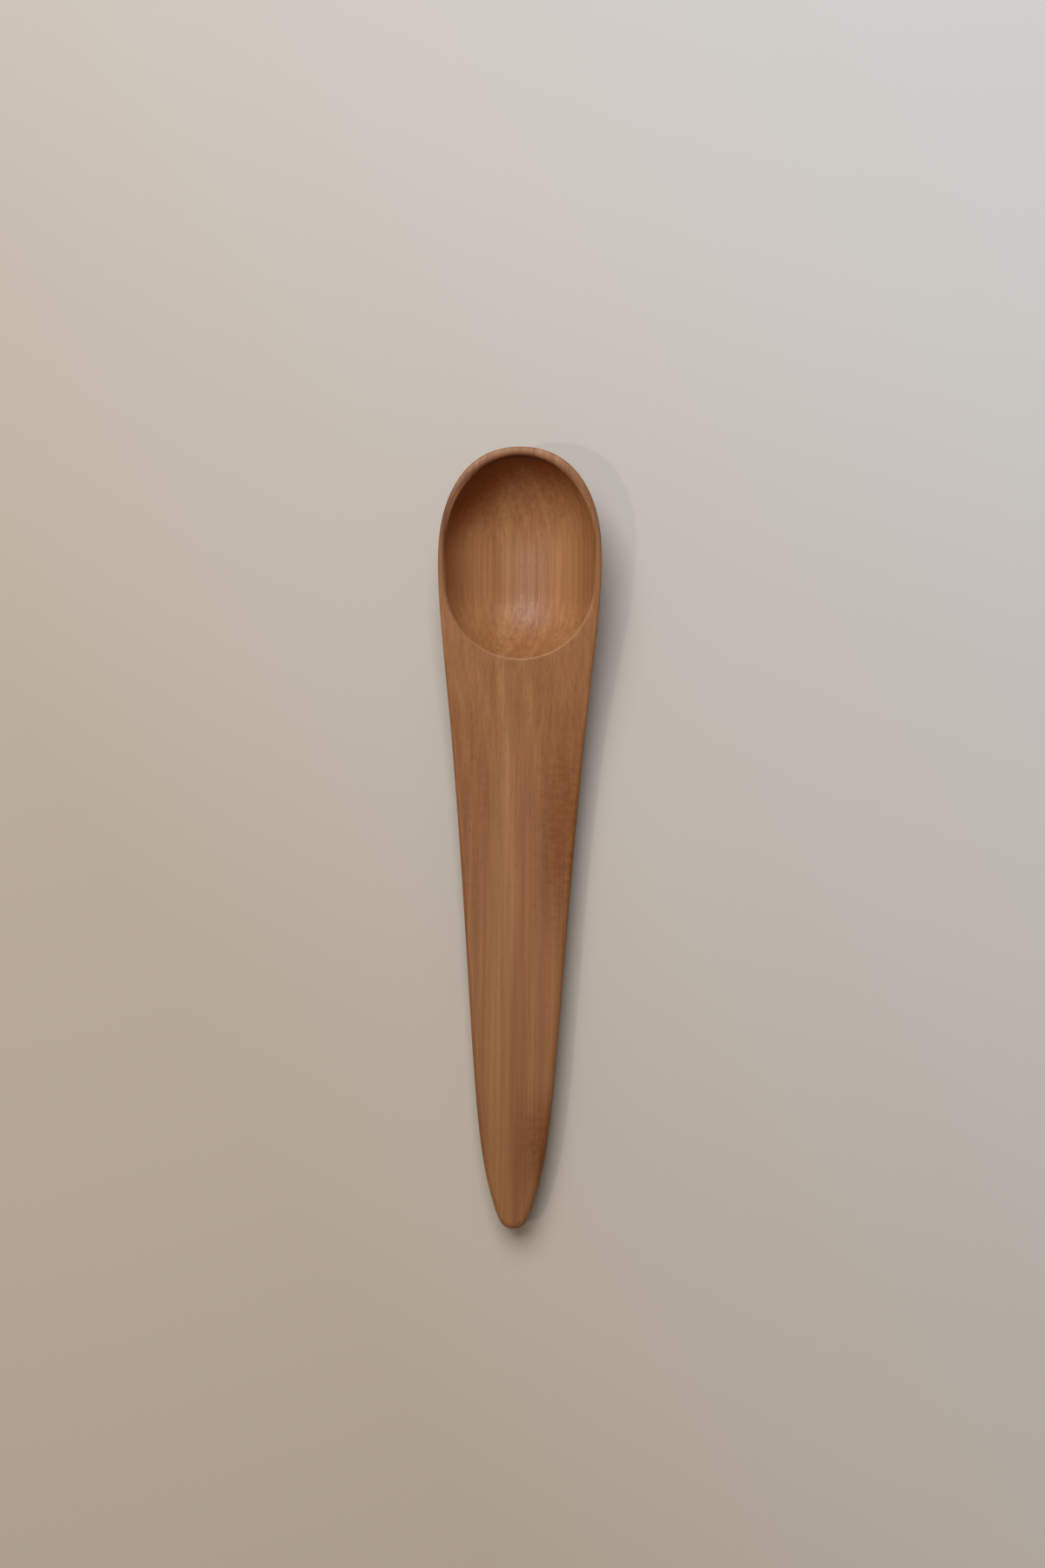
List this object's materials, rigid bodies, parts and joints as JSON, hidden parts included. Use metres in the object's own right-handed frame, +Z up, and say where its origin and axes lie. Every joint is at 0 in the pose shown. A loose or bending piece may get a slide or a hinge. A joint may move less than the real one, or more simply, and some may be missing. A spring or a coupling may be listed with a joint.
{
  "type": "tea scoop",
  "caption": "Carved wooden tea scoop with a deep rounded bowl, a level rim and a long flat handle that tapers to a rounded point.",
  "frame": {"origin": "on the ground, under the middle of the scoop's length and width", "axes": "+Z up, out of the bowl's mouth; +Y from the tip of the handle to the front of the bowl; +X to the right"},
  "size_m": [0.0312, 0.15, 0.014],
  "materials": {
    "wood": "satin, oiled"
  },
  "bodies": {
    "root": {"tea_scoop": "wood"}
  },
  "joints": []
}
